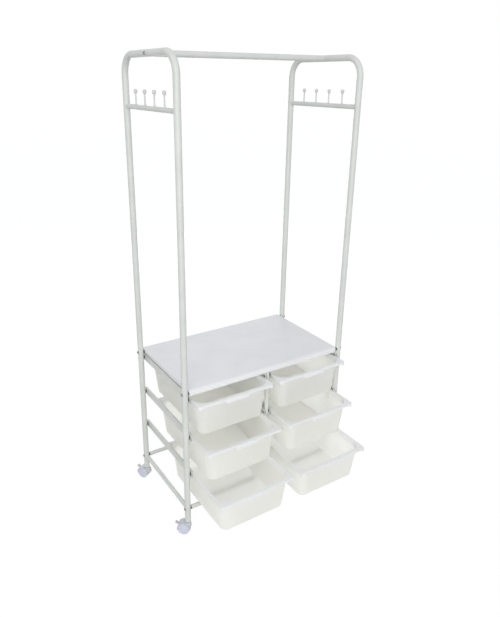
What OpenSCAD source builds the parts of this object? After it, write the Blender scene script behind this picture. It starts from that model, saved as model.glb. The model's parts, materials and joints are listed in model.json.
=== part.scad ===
// Open-front wardrobe: a rolling steel clothes rack with a shelf, six pull-out
// drawers and four braked twin-wheel casters. Millimetres, +X right, -Y front,
// +Z up, with the origin on the floor in the middle between the four uprights.

/* [Frame] */
// Left to right distance between the uprights, centre to centre
leg_span_x = 690; // [600:5:800]
// Front to rear distance between the uprights, centre to centre
leg_span_y = 376; // [340:2:440]
// Outer diameter of the uprights and hoops
tube_d = 22; // [20:0.5:25]
// Wall thickness of all the steel tube
tube_wall = 1.2; // [1:0.1:1.6]
// Height of a hoop's top run above the joint with its lower legs
hoop_rise = 848; // [700:4:1000]
// Bend radius of the hoops, at the centre of the tube
hoop_bend_r = 62; // [45:1:90]
// Height of the leg joint above the shelf
joint_above_shelf = 220; // [120:5:320]
// Length of the narrowed hoop end that slides into a lower leg
spigot_len = 60; // [40:2:80]
// Radial clearance of the narrowed hoop end inside the leg
spigot_clear = 0.2; // [0.1:0.05:0.4]

/* [Rails and hooks] */
// Diameter of the hanging rail
rail_d = 20; // [18:0.5:22]
// Diameter of the hook rails and of the bars low on the frame
bar_d = 16; // [14:0.5:19]
// Drop from a hoop's top run down to its hook rail
hook_rail_drop = 158; // [120:2:260]
// Number of pegs on each hook rail
peg_count = 4; // [2:1:5]
// Distance between neighbouring pegs
peg_pitch = 71; // [50:1:80]
// Height of a peg's ball above the centre of its hook rail
peg_rise = 49; // [35:1:65]
// Diameter of a peg's rod
peg_rod_d = 5; // [4:0.5:7]
// Diameter of a peg's ball
peg_ball_d = 13; // [10:0.5:18]

/* [Shelf and low frame] */
// How far the shelf's front face stands before the front upright centres
shelf_front_over = 5; // [4.5:0.5:9]
// How far the shelf reaches behind the rear upright centres
shelf_rear_over = 18; // [12:1:30]
// Gap between the shelf's edges and the top runners under them
shelf_runner_gap = 1; // [0.8:0.1:5]
// Height of the front and rear edges of the shelf
shelf_edge_h = 19; // [17:0.5:25]
// Radius of the round along the top of the front edge
shelf_nose_r = 12; // [8:0.5:14]
// Height of the flanges along the sides of the shelf
shelf_side_h = 12; // [11:0.5:16]
// Wall thickness of the moulded shelf
shelf_wall = 2.5; // [2:0.1:3.5]
// Radius inside the shelf's corners, seen from above
shelf_corner_r = 2; // [1:0.5:4]
// Height of the ribs under the shelf
shelf_rib_h = 9; // [4:0.5:12]
// Height of the low bars above the bottom ends of the legs
low_bar_up = 58; // [45:1:80]
// Diameter of the two posts between the drawer columns
post_d = 16; // [14:0.5:20]

/* [Runners] */
// Height of a runner's web
runner_h = 26; // [22:0.5:30]
// Width of the lip that keeps a drawer from tipping
runner_lip = 8; // [5:0.5:10]
// Sheet thickness of a runner
runner_t = 1.6; // [1.2:0.1:2]
// How far a runner reaches past the upright centres
runner_overhang = 10; // [8:0.5:14]
// Thickness of the saddle washers between tubes and what they carry
washer_t = 3; // [2:0.1:4]
// Diameter of the saddle washers
washer_d = 14; // [12:0.5:16]

/* [Drawers] */
// Length of a drawer over its rim, front to rear
drawer_len = 428; // [380:2:460]
// Depth of a drawer, from its rim to the outside of its floor
drawer_depth = 136; // [100:1:150]
// Gap between one row's floor and the rim of the row below
row_gap = 19; // [17:0.5:40]
// Gap between the lowest drawers and the low bars
floor_gap = 6; // [3:0.5:30]
// Clearance on each side of a drawer's rim inside the runners
drawer_side_gap = 3; // [2.8:0.1:5]
// Running gap between a drawer's rim and the ledge below it
drawer_ride_gap = 0.3; // [0.2:0.05:0.5]
// Width of the rim's land along the sides of a drawer, out from its wall
rim_side = 7.5; // [6:0.5:11]
// Width of the rim's land at the front and rear of a drawer
rim_front = 12.5; // [10:0.5:16]
// How far a wall leans in between the rim and the floor
wall_draft = 16.5; // [12:0.5:24]
// Wall thickness of a drawer
drawer_wall = 2; // [1.6:0.1:3]
// Thickness of a drawer's rim, seen from the side
rim_t = 2.4; // [2:0.1:3.5]
// Height of the turned-down edge round the rim
skirt_h = 9; // [7:0.5:11]
// Outside corner radius of the rim
rim_corner_r = 8; // [5:0.5:12]
// Corner radius of the drawer's wall just under the rim
tub_corner_r = 42; // [34:1:50]
// Radius between a drawer's walls and its floor
tub_floor_r = 8; // [5:0.5:11]
// How far the tabs on the front corners hang below the turned-down edge
tab_drop = 5; // [3:0.5:7]
// Width of the tabs on the front corners
tab_w = 13; // [9:0.5:16]
// Width of the handle in the middle of the front
handle_w = 92; // [70:1:120]
// How far the handle hangs below the turned-down edge
handle_drop = 8; // [5:0.5:11]
// How far the handle stands out in front of the rim
handle_proud = 3; // [2:0.5:5]
// How far the top drawers stand open
open_top = 22; // [0:1:120]
// How far the middle drawers stand open
open_middle = 83; // [0:1:160]
// How far the bottom drawers stand open
open_bottom = 171; // [0:1:220]

/* [Casters] */
// Diameter of a caster wheel
wheel_d = 44; // [40:0.5:50]
// Width of one wheel of a pair
wheel_w = 11.5; // [10:0.5:16]
// Gap between the two wheels of a pair
wheel_gap = 13; // [12.5:0.5:16]
// Distance from the swivel axis to the axle
caster_trail = 15; // [14.5:0.5:24]
// Thickness of the hood over the wheels
hood_t = 1.8; // [1.6:0.1:2.4]
// Gap between the wheels and the hood
hood_gap = 1; // [0.6:0.1:1.6]
// Direction in which the front casters trail, turned from +X
front_caster_turn = 140; // [0:5:355]
// Direction in which the rear casters trail, turned from +X
rear_caster_turn = 120; // [0:5:355]
// Diameter of the axle
axle_d = 4; // [3.5:0.1:5]
// Diameter of the swivel stem
stem_d = 8; // [7:0.5:8.5]
// Length of the stem inside the leg
stem_up = 36; // [24:1:50]
// Width of the brake pedal
pedal_w = 13; // [9:0.5:16]
// How far the brake pedal reaches past the hood
pedal_past_hood = 14.5; // [14:0.5:22]

/* [Fasteners] */
// Diameter of the frame bolts
bolt_d = 6; // [5:0.5:7]
// Diameter of the runner screws
screw_d = 4; // [3:0.5:5]
// Radial clearance of bolts and screws in plain holes
hole_clear = 0.25; // [0.1:0.05:0.5]

/* [Hidden] */
$fn = 64;

frame_white = [0.90, 0.90, 0.87];
shelf_grey = [0.83, 0.84, 0.86];
drawer_white = [0.92, 0.92, 0.90];
caster_white = [0.88, 0.88, 0.92];
dark_grey = [0.22, 0.22, 0.23];
zinc = [0.72, 0.72, 0.70];

// Sides and rows: -1 is left or front, 1 is right or rear
half_x = leg_span_x / 2;
half_y = leg_span_y / 2;
tube_r = tube_d / 2;
tube_bore_r = tube_r - tube_wall;
bar_r = bar_d / 2;
rail_r = rail_d / 2;
post_r = post_d / 2;

// Casters set the height of everything above them
wheel_r = wheel_d / 2;
hood_in_r = wheel_r + hood_gap;
hood_r = hood_in_r + hood_t;
swivel_gap = 0.3;
collar_up = 3.4;
hood_top_z = wheel_r + hood_r + collar_up;
socket_lip = 1.5;
socket_z = hood_top_z + swivel_gap;
leg_bottom_z = socket_z + socket_lip;
socket_depth = stem_up + 6;
hood_cut = 4;

// Heights, from the floor up
low_bar_z = leg_bottom_z + low_bar_up;
row_pitch = drawer_depth + row_gap;
bottom_rim_z = low_bar_z + bar_r + floor_gap + drawer_depth;
middle_rim_z = bottom_rim_z + row_pitch;
top_rim_z = middle_rim_z + row_pitch;
runner_over_rim = runner_h - skirt_h - drawer_ride_gap - runner_t;
shelf_top_z = top_rim_z + runner_over_rim + shelf_runner_gap + shelf_edge_h;
leg_joint_z = shelf_top_z + joint_above_shelf;
hoop_top_z = leg_joint_z + hoop_rise;
hook_rail_z = hoop_top_z - hook_rail_drop;

// Runners stand off the tubes by one saddle washer
outer_web_x = half_x - tube_r - washer_t;
inner_web_x = post_r + washer_t;
runner_half_l = half_y + runner_overhang;
stop_t = 1.6;
ledge_to_tub = 0.8;
runner_ledge = runner_t + drawer_side_gap + rim_side - ledge_to_tub;

// Drawers fill the bay between the webs
bay_w = outer_web_x - inner_web_x - 2 * runner_t;
bay_x = (outer_web_x + inner_web_x) / 2;
drawer_w = bay_w - 2 * drawer_side_gap;
skirt_t = 2;
closed_y = runner_half_l - stop_t - drawer_ride_gap - drawer_len / 2;
tub_half_x = drawer_w / 2 - rim_side - tub_corner_r;
tub_half_y = drawer_len / 2 - rim_front - tub_corner_r;
handle_t = 2.4;

// Shelf, with its front face and its rear face measured from the middle
shelf_half_x = half_x - tube_r - washer_t;
shelf_front_y = half_y + shelf_front_over;
shelf_rear_y = half_y + shelf_rear_over;
shelf_bolt_drop = 8.5;
shelf_bolt_z = shelf_top_z - shelf_bolt_drop;
shelf_boss_l = 20;
shelf_rib_t = 2;
post_boss_wall = 1.5;
post_top_z = shelf_top_z - shelf_edge_h;
// The shelf's pins in the posts end just above the screws of the top runners
post_plug_l = shelf_runner_gap + runner_h / 2 - screw_d / 2 - 1;
post_washer_d = 0.75 * post_d;

// Fasteners
head_d = 2 * bolt_d;
head_h = 0.6 * bolt_d;
screw_head_d = 2 * screw_d;
screw_head_h = 0.55 * screw_d;
end_plug_l = 16;

// Brake pedal, measured from the axle
pedal_pivot_r = 13;
pedal_pivot_a = 40;
pedal_pin_r = 1.5;
pedal_t = 4.4;
pedal_lean = 26;
pedal_travel = 22;
pedal_hub_r = 3.4;
// The shoe points straight at the axle once the pedal is pressed down
shoe_rest = pedal_pivot_a + 180 + pedal_travel;

function sides() = [-1, 1];

// Helpers

module tube_x(r, wall, len) {
  rotate([0, 90, 0])
    linear_extrude(len, center = true)
      difference() {
        circle(r);
        circle(r - wall);
      }
}

module rod_x(r, len) {
  rotate([0, 90, 0]) cylinder(r = r, h = len, center = true);
}

module rod_y(r, len) {
  rotate([90, 0, 0]) cylinder(r = r, h = len, center = true);
}

module upright_at(sx, sy) {
  translate([sx * half_x, sy * half_y, 0]) children();
}

// Plan of a rectangle with round corners
module round_rect(w, l, r) {
  square([w - 2 * r, l], center = true);
  square([w, l - 2 * r], center = true);
  for (sx = sides(), sy = sides())
    translate([sx * (w / 2 - r), sy * (l / 2 - r)]) circle(r);
}

// Hoops: two straight legs, two bends and a top run, with narrowed lower ends

module tube_section(r) {
  difference() {
    circle(r);
    circle(r - tube_wall);
  }
}

module upper_hoop(sx) {
  color(frame_white)
    difference() {
      bare_hoop(sx);
      translate([sx * half_x, 0, hoop_top_z]) rod_x(bolt_d / 2 + hole_clear, 2 * tube_d);
    }
}

module bare_hoop(sx) {
  spigot_r = tube_bore_r - spigot_clear;
  straight = hoop_rise - hoop_bend_r;
  translate([sx * half_x, 0, leg_joint_z]) {
    for (sy = sides()) {
      translate([0, sy * half_y, 0]) linear_extrude(straight) tube_section(tube_r);
      translate([0, sy * half_y, -spigot_len])
        linear_extrude(spigot_len + tube_wall)
          difference() {
            circle(spigot_r);
            circle(spigot_r - tube_wall);
          }
      translate([0, sy * half_y, 0])
        linear_extrude(tube_wall)
          difference() {
            circle(tube_bore_r);
            circle(spigot_r);
          }
      translate([0, sy * (half_y - hoop_bend_r), straight])
        rotate([90, 0, sy * 90])
          rotate_extrude(angle = 90) translate([hoop_bend_r, 0]) tube_section(tube_r);
    }
    translate([0, 0, hoop_rise])
      rotate([90, 0, 0])
        linear_extrude(leg_span_y - 2 * hoop_bend_r, center = true)
          tube_section(tube_r);
  }
}

// The rail runs between the hoops, shaped round them, with plugged ends for its bolts
module hanging_rail() {
  plug = tube_r + end_plug_l;
  color(frame_white)
    difference() {
      translate([0, 0, hoop_top_z]) {
        tube_x(rail_r, tube_wall, leg_span_x);
        for (sx = sides())
          translate([sx * (half_x - plug / 2), 0, 0]) rod_x(rail_r - tube_wall, plug);
      }
      for (sx = sides())
        translate([sx * half_x, 0, hoop_top_z]) rod_y(tube_r, 4 * tube_d);
      translate([0, 0, hoop_top_z]) rod_x(bolt_d / 2, 2 * leg_span_x);
    }
}

// A bar along Y whose ends are shaped round the two uprights it is welded to
module coped_bar(sx, z) {
  color(frame_white)
    difference() {
      translate([sx * half_x, 0, z])
        rotate([90, 0, 0])
          linear_extrude(leg_span_y, center = true)
            difference() {
              circle(bar_r);
              circle(bar_r - tube_wall);
            }
      for (sy = sides())
        upright_at(sx, sy) translate([0, 0, z - bar_d]) cylinder(r = tube_r, h = 2 * bar_d);
    }
}

// One peg: a welded foot, a rod and a ball drawn down to a point
module peg() {
  rod_r = peg_rod_d / 2;
  ball_r = peg_ball_d / 2;
  neck = 1.5 * ball_r;
  rotate_extrude()
    polygon(concat(
      [[0, 0], [rod_r + 1.6, 0], [rod_r + 1.6, bar_r], [rod_r, bar_r + 2]],
      [[rod_r, peg_rise - neck]],
      [for (a = [-35:25:90]) [ball_r * cos(a), peg_rise + ball_r * sin(a)]]
    ));
}

module hook_pegs(sx) {
  color(frame_white)
    for (i = [0:peg_count - 1])
      translate([sx * half_x, (i - (peg_count - 1) / 2) * peg_pitch, hook_rail_z])
        difference() {
          peg();
          rod_y(bar_r, 2 * peg_rod_d + 4);
        }
}

// Lower legs, drilled for the shelf bolt, the low bar bolt and the runner screws
module lower_leg(sx, sy) {
  bolt_hole_r = bolt_d / 2 + hole_clear;
  color(frame_white)
    difference() {
      upright_at(sx, sy)
        translate([0, 0, leg_bottom_z])
          linear_extrude(leg_joint_z - leg_bottom_z) tube_section(tube_r);
      for (z = [low_bar_z, shelf_bolt_z])
        upright_at(sx, sy) translate([0, 0, z]) rod_x(bolt_hole_r, 2 * tube_d);
      for (rim_z = [bottom_rim_z, middle_rim_z, top_rim_z])
        translate([sx * (half_x - tube_r), sy * half_y, runner_screw_z(rim_z)])
          rod_x(screw_d / 2, tube_r);
    }
}

// Front and rear low bars: plugged ends take the bolts that pass through the legs
module low_bar(sy) {
  len = 2 * (half_x - tube_r - washer_t);
  color(frame_white)
    difference() {
      translate([0, sy * half_y, low_bar_z]) {
        tube_x(bar_r, tube_wall, len);
        for (sx = sides())
          translate([sx * (len - end_plug_l) / 2, 0, 0])
            rod_x(bar_r - tube_wall, end_plug_l);
      }
      translate([0, sy * half_y, low_bar_z]) rod_x(bolt_d / 2, 2 * len);
      translate([0, sy * half_y, low_bar_z - bar_d])
        cylinder(r = bolt_d / 2 + hole_clear, h = 2 * bar_d);
    }
}

// Centre posts: shaped over the low bar at the foot, open at the top for the shelf's pin
module centre_post(sy) {
  foot = 0.6 * bar_r;
  color(frame_white)
    difference() {
      translate([0, sy * half_y, low_bar_z + foot]) {
        linear_extrude(post_top_z - low_bar_z - foot)
          difference() {
            circle(post_r);
            circle(post_r - tube_wall);
          }
        cylinder(r = post_r - tube_wall, h = bar_r - foot + end_plug_l);
      }
      translate([0, sy * half_y, low_bar_z]) rod_x(bar_r, 3 * post_d);
      translate([0, sy * half_y, low_bar_z]) cylinder(r = bolt_d / 2, h = 3 * end_plug_l);
      for (sx = sides(), rim_z = [bottom_rim_z, middle_rim_z, top_rim_z])
        translate([sx * post_r, sy * half_y, runner_screw_z(rim_z)])
          rod_x(screw_d / 2, post_r);
    }
}

// Shelf: a moulded tray with a round along its front edge, side flanges and ribs.
// Its modules work down from the top face at zero.

// Section from front to rear, with y along x and height along y
module shelf_section(inset, below) {
  r = shelf_nose_r - inset;
  flat_y = shelf_nose_r - shelf_front_y;
  translate([flat_y, -shelf_nose_r]) square([shelf_rear_y - inset - flat_y, r]);
  translate([inset - shelf_front_y, -shelf_edge_h - below])
    square([shelf_front_y + shelf_rear_y - 2 * inset, shelf_edge_h + below - shelf_nose_r]);
  translate([flat_y, -shelf_nose_r])
    intersection() {
      circle(r);
      translate([-r, 0]) square(r);
    }
}

module shelf_blank(inset, below) {
  intersection() {
    rotate([90, 0, 90])
      linear_extrude(2 * (shelf_half_x - inset), center = true) shelf_section(inset, below);
    translate([0, (shelf_rear_y - shelf_front_y) / 2, -shelf_edge_h - below])
      linear_extrude(shelf_edge_h + below)
        round_rect(2 * (shelf_half_x - inset), shelf_front_y + shelf_rear_y - 2 * inset,
                   shelf_corner_r + shelf_wall - inset);
  }
}

// Ribs, bosses for the side bolts, and a boss with a pin over each post
module shelf_underside() {
  rib_z = -shelf_wall - shelf_rib_h / 2;
  boss_h = shelf_bolt_drop + bolt_d / 2 + 2;
  for (i = [-1:1])
    translate([0, i * shelf_front_y / 2, rib_z])
      cube([2 * shelf_half_x - shelf_wall, shelf_rib_t, shelf_rib_h], center = true);
  for (i = [-2:2])
    translate([i * shelf_half_x / 3, (shelf_rear_y - shelf_front_y) / 2, rib_z])
      cube([shelf_rib_t, shelf_front_y + shelf_rear_y - shelf_wall, shelf_rib_h], center = true);
  for (sx = sides(), sy = sides())
    translate([sx * (shelf_half_x - shelf_boss_l / 2), sy * half_y, -boss_h / 2])
      cube([shelf_boss_l, 2 * bolt_d, boss_h], center = true);
  for (sy = sides()) {
    translate([0, sy * half_y, -shelf_edge_h])
      cylinder(r = post_r + post_boss_wall, h = shelf_edge_h - shelf_wall / 2);
    translate([0, sy * half_y, -shelf_edge_h - post_plug_l])
      cylinder(r = post_r - tube_wall, h = post_plug_l + shelf_wall);
  }
}

module shelf_top() {
  color(shelf_grey)
    difference() {
      translate([0, 0, shelf_top_z]) {
        difference() {
          shelf_blank(0, 0);
          shelf_blank(shelf_wall, 1);
          translate([-shelf_half_x - 1, shelf_nose_r - shelf_front_y, -shelf_edge_h - 1])
            cube([2 * shelf_half_x + 2, shelf_front_y + shelf_rear_y - shelf_nose_r - shelf_wall,
                  shelf_edge_h + 1 - shelf_side_h]);
        }
        intersection() {
          shelf_blank(0, post_plug_l);
          shelf_underside();
        }
      }
      for (sx = sides(), sy = sides())
        translate([sx * shelf_half_x, sy * half_y, shelf_bolt_z])
          rod_x(bolt_d / 2, 2 * shelf_boss_l - 4);
    }
}

// Runners: a web, a ledge that carries the drawer, a lip over its rim and a rear stop
function ledge_z(rim_z) = rim_z - skirt_h - drawer_ride_gap - runner_t;
function runner_screw_z(rim_z) = ledge_z(rim_z) + runner_h / 2;

// dir is the way the ledge points along X
module runner(web_x, dir, rim_z) {
  color(frame_white)
    translate([web_x, 0, ledge_z(rim_z)])
      scale([dir, 1, 1])
        difference() {
          union() {
            rotate([90, 0, 0])
              linear_extrude(2 * runner_half_l, center = true)
                union() {
                  square([runner_t, runner_h]);
                  square([runner_ledge, runner_t]);
                  translate([0, runner_h - runner_t]) square([runner_lip, runner_t]);
                }
            translate([0, runner_half_l - stop_t, 0])
              cube([runner_ledge, stop_t, skirt_h + runner_t]);
          }
          for (sy = sides())
            translate([0, sy * half_y, runner_h / 2])
              rod_x(screw_d / 2 + hole_clear, 4 * runner_t);
        }
}

module outer_runner(sx, rim_z) {
  runner(sx * outer_web_x, -sx, rim_z);
}

module inner_runner(sx, rim_z) {
  runner(sx * inner_web_x, sx, rim_z);
}

// Drawers: a drafted tub with round corners under a flat rim with a turned-down edge

function arc(cx, cy, r, a0, a1, n) =
  [for (i = [0:n]) let (a = a0 + (a1 - a0) * i / n) [cx + r * cos(a), cy + r * sin(a)]];

// Section through a wall and its share of the floor; x is the way out from the
// straight part of the floor, y is the height below the rim
module tub_section() {
  lean = atan(wall_draft / (drawer_depth - rim_t));
  low_r = tub_corner_r - wall_draft;
  in_r = tub_floor_r - drawer_wall;
  // Centre of the round between wall and floor, kept a tub_floor_r from both
  cy = -drawer_depth + tub_floor_r;
  cx = low_r + tub_floor_r * tan(lean) - tub_floor_r / cos(lean);
  polygon(concat(
    [[0, -drawer_depth + drawer_wall], [0, -drawer_depth]],
    arc(cx, cy, tub_floor_r, -90, -lean, 5),
    [[tub_corner_r, -rim_t], [tub_corner_r - drawer_wall / cos(lean), -rim_t]],
    arc(cx, cy, in_r, -lean, -90, 5)
  ));
}

module tub() {
  a = tub_half_x;
  b = tub_half_y;
  for (i = [0:3]) {
    sx = (i == 0 || i == 3) ? 1 : -1;
    sy = (i < 2) ? 1 : -1;
    translate([sx * a, sy * b, 0])
      rotate([0, 0, i * 90]) rotate_extrude(angle = 90) tub_section();
  }
  for (s = sides()) {
    translate([s * a, 0, 0])
      rotate([90, 0, s > 0 ? 0 : 180])
        linear_extrude(2 * b, center = true) tub_section();
    translate([0, s * b, 0])
      rotate([90, 0, s * 90])
        linear_extrude(2 * a, center = true) tub_section();
  }
  lap = tub_floor_r;
  translate([-a - lap, -b - lap, -drawer_depth]) cube([2 * (a + lap), 2 * (b + lap), drawer_wall]);
}

module drawer_rim() {
  lean = atan(wall_draft / (drawer_depth - rim_t));
  mouth_r = tub_corner_r - drawer_wall / cos(lean);
  translate([0, 0, -rim_t])
    linear_extrude(rim_t)
      difference() {
        round_rect(drawer_w, drawer_len, rim_corner_r);
        round_rect(2 * (tub_half_x + mouth_r), 2 * (tub_half_y + mouth_r), mouth_r);
      }
}

module rim_edge(drop) {
  translate([0, 0, -drop])
    linear_extrude(drop - rim_t)
      difference() {
        round_rect(drawer_w, drawer_len, rim_corner_r);
        round_rect(drawer_w - 2 * skirt_t, drawer_len - 2 * skirt_t, rim_corner_r - skirt_t);
      }
}

module drawer(sx, rim_z, open) {
  front = -drawer_len / 2;
  lip_h = skirt_h + handle_drop;
  round_end = 4;
  color(drawer_white)
    translate([sx * bay_x, closed_y - open, rim_z]) {
      tub();
      drawer_rim();
      rim_edge(skirt_h);
      intersection() {
        rim_edge(skirt_h + tab_drop);
        for (s = sides())
          translate([s * (drawer_w / 2 - tab_w / 2), front + tab_w / 2, -skirt_h])
            cube([tab_w, tab_w, 2 * tab_drop], center = true);
      }
      translate([0, front + skirt_t, 0])
        rotate([90, 0, 0])
          linear_extrude(skirt_t + handle_proud)
            union() {
              translate([-handle_w / 2, -lip_h + round_end])
                square([handle_w, lip_h - round_end]);
              translate([-handle_w / 2 + round_end, -lip_h])
                square([handle_w - 2 * round_end, round_end]);
              for (s = sides())
                translate([s * (handle_w / 2 - round_end), -lip_h + round_end])
                  circle(round_end);
            }
    }
}

// Casters: modelled with the stem on the origin and the wheels trailing along +X

module at_caster(sx, sy) {
  upright_at(sx, sy)
    rotate([0, 0, sy < 0 ? front_caster_turn : rear_caster_turn]) children();
}

module at_axle() {
  translate([caster_trail, 0, wheel_r]) children();
}

function web_half() = wheel_gap / 2 - 0.5;
function hood_half() = wheel_gap / 2 + wheel_w + 0.8;

// Point at radius r and angle a round the axle, in the plane of the web
function polar(r, a) = [r * cos(a), r * sin(a)];

module flat_on_web(w) {
  rotate([90, 0, 0]) linear_extrude(w, center = true) children();
}

// Space that the pedal needs inside the web and through the hood
module pedal_slot() {
  translate(polar(pedal_pivot_r, pedal_pivot_a)) {
    circle(pedal_hub_r + 0.8);
    pedal_sweep(pedal_lean, 2 * hood_r, pedal_hub_r);
    pedal_sweep(shoe_rest, pedal_pivot_r, 2.6);
  }
}

// The area an arm passes over on its way down from one angle, with room beside it
module pedal_sweep(start, reach, root) {
  finish = start - pedal_travel;
  polygon([polar(root, start + 90), polar(reach, start + 12),
           polar(reach, finish - 12), polar(root, finish - 90)]);
}

module caster_hood(sx, sy) {
  web = web_half();
  half = hood_half();
  collar_r = 10.5;
  skirt_z = wheel_r - hood_cut;
  color(caster_white)
    at_caster(sx, sy)
      difference() {
        union() {
          at_axle()
            intersection() {
              rotate([90, 0, 0])
                rotate_extrude()
                  polygon([[0, -half], [hood_r - 1.6, -half], [hood_r, -half + 2.4],
                           [hood_r, half - 2.4], [hood_r - 1.6, half], [0, half]]);
              translate([0, 0, 1.5 * hood_r - hood_cut]) cube(3 * hood_r, center = true);
            }
          translate([0, 0, skirt_z]) cylinder(r = collar_r, h = hood_top_z - skirt_z);
        }
        // Two wheel houses, open at the side and below
        for (s = sides())
          at_axle()
            translate([0, s * (web + half), 0]) rod_y(hood_in_r, 2 * half);
        // Swivel bore, axle bore and the pedal's slot and pin bore
        translate([0, 0, -1]) cylinder(r = stem_d / 2 + 0.06, h = hood_top_z + 2);
        at_axle() rod_y(axle_d / 2 + 0.06, 4 * web);
        at_axle() flat_on_web(pedal_t + 0.6) pedal_slot();
        at_axle()
          translate([polar(pedal_pivot_r, pedal_pivot_a)[0], 0,
                     polar(pedal_pivot_r, pedal_pivot_a)[1]])
            rod_y(pedal_pin_r + 0.06, 2 * web - 1.6);
      }
}

// Two wheels, pressed on one axle that turns in the hood
module caster_wheels(sx, sy) {
  w = wheel_w;
  color(caster_white)
    at_caster(sx, sy)
      at_axle()
        for (s = sides())
          translate([0, s * wheel_gap / 2, 0])
            rotate([-s * 90, 0, 0])
              difference() {
                rotate_extrude()
                  polygon([[0, 0], [wheel_r - 1, 0], [wheel_r, 1], [wheel_r, w - 3],
                           [wheel_r - 1, w - 1.2], [wheel_r - 3, w - 0.6], [wheel_r / 2, w],
                           [0, w]]);
                translate([0, 0, -1]) cylinder(r = axle_d / 2, h = w - 2);
              }
}

module caster_axle(sx, sy) {
  color(zinc) at_caster(sx, sy) at_axle() rod_y(axle_d / 2, wheel_gap + 2 * (wheel_w - 3));
}

// Pedal: a hub on its own pins, a neck out to the pad and a shoe towards the axle
module brake_pedal(sx, sy) {
  p = polar(pedal_pivot_r, pedal_pivot_a);
  neck_t = 3;
  shoe_t = 2.4;
  pad_t = 3;
  pad_l = 11;
  shoe_l = pedal_pivot_r - axle_d / 2 - 0.5;
  reach = hood_r + pedal_past_hood - pedal_pivot_r;
  color(caster_white)
    at_caster(sx, sy)
      at_axle()
        translate([p[0], 0, p[1]]) {
          flat_on_web(pedal_t)
            union() {
              circle(pedal_hub_r);
              rotate(pedal_lean) translate([0, -neck_t / 2]) square([reach - pad_l, neck_t]);
              rotate(shoe_rest) translate([0, -shoe_t / 2]) square([shoe_l, shoe_t]);
            }
          rod_y(pedal_pin_r, 2 * web_half() - 2);
          rotate([0, -pedal_lean, 0])
            translate([reach - pad_l / 2, 0, 0]) cube([pad_l, pedal_w, pad_t], center = true);
        }
}

// Stems: steel pins that stay in the legs while the hoods turn on them
module caster_stems() {
  color(zinc)
    for (sx = sides(), sy = sides())
      upright_at(sx, sy)
        translate([0, 0, wheel_r - hood_cut])
          cylinder(r = stem_d / 2, h = hood_top_z + stem_up - wheel_r + hood_cut);
}

// Sockets: plastic inserts pushed into the legs, each with a thin lip under the tube
module caster_sockets() {
  color(dark_grey)
    for (sx = sides(), sy = sides())
      upright_at(sx, sy)
        translate([0, 0, socket_z])
          difference() {
            union() {
              cylinder(r = tube_r, h = socket_lip);
              cylinder(r = tube_bore_r, h = socket_depth);
            }
            translate([0, 0, -1])
              cylinder(r = stem_d / 2, h = hood_top_z + stem_up - socket_z + 1);
          }
}

// Fasteners

// A pan-head bolt pointing along +X, with its head's underside on the origin
module pan_bolt(d, hd, hh, len) {
  rotate([0, 90, 0]) {
    cylinder(r = d / 2, h = len);
    rotate_extrude()
      polygon([[0, 0], [hd / 2, 0], [hd / 2, -0.35 * hh], [0.42 * hd, -0.7 * hh],
               [0.25 * hd, -0.95 * hh], [0, -hh]]);
  }
}

// Bolts through the legs into the shelf and the low bars, and up into the posts
module frame_bolts() {
  reach = tube_d + washer_t + 14;
  color(zinc) {
    for (sx = sides(), sy = sides(), z = [low_bar_z, shelf_bolt_z])
      translate([sx * (half_x + tube_r), sy * half_y, z])
        rotate([0, 0, sx > 0 ? 180 : 0]) pan_bolt(bolt_d, head_d, head_h, reach);
    for (sy = sides())
      translate([0, sy * half_y, low_bar_z - bar_r])
        rotate([0, -90, 0]) pan_bolt(bolt_d, head_d, head_h, bar_d + end_plug_l - 4);
  }
}

module rail_bolts() {
  color(zinc)
    for (sx = sides())
      translate([sx * (half_x + tube_r), 0, hoop_top_z])
        rotate([0, 0, sx > 0 ? 180 : 0])
          pan_bolt(bolt_d, head_d, head_h, tube_d + end_plug_l - 4);
}

module runner_screws() {
  len = runner_t + washer_t + tube_wall + 3;
  color(zinc)
    for (rim_z = [bottom_rim_z, middle_rim_z, top_rim_z], sx = sides(), sy = sides()) {
      translate([sx * (outer_web_x - runner_t), sy * half_y, runner_screw_z(rim_z)])
        rotate([0, 0, sx > 0 ? 0 : 180])
          pan_bolt(screw_d, screw_head_d, screw_head_h, len);
      translate([sx * (inner_web_x + runner_t), sy * half_y, runner_screw_z(rim_z)])
        rotate([0, 0, sx > 0 ? 180 : 0])
          pan_bolt(screw_d, screw_head_d, screw_head_h, len);
    }
}

// A saddle washer fills the space between a round tube and a flat face beside it
module saddle_washer(r_tube, d, r_hole) {
  rotate([0, 90, 0])
    difference() {
      translate([0, 0, r_tube / 2]) cylinder(r = d / 2, h = r_tube / 2 + washer_t);
      rod_x(r_tube, 3 * d);
      cylinder(r = r_hole, h = 2 * r_tube);
    }
}

module saddle_washers() {
  color(dark_grey) {
    for (sx = sides(), sy = sides()) {
      for (z = [low_bar_z, shelf_bolt_z])
        upright_at(sx, sy)
          translate([0, 0, z])
            rotate([0, 0, sx > 0 ? 180 : 0]) saddle_washer(tube_r, washer_d, bolt_d / 2 + hole_clear);
      for (rim_z = [bottom_rim_z, middle_rim_z, top_rim_z]) {
        upright_at(sx, sy)
          translate([0, 0, runner_screw_z(rim_z)])
            rotate([0, 0, sx > 0 ? 180 : 0])
              saddle_washer(tube_r, washer_d, screw_d / 2 + hole_clear);
        translate([0, sy * half_y, runner_screw_z(rim_z)])
          rotate([0, 0, sx > 0 ? 0 : 180])
            saddle_washer(post_r, post_washer_d, screw_d / 2 + hole_clear);
      }
    }
  }
}

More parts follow.
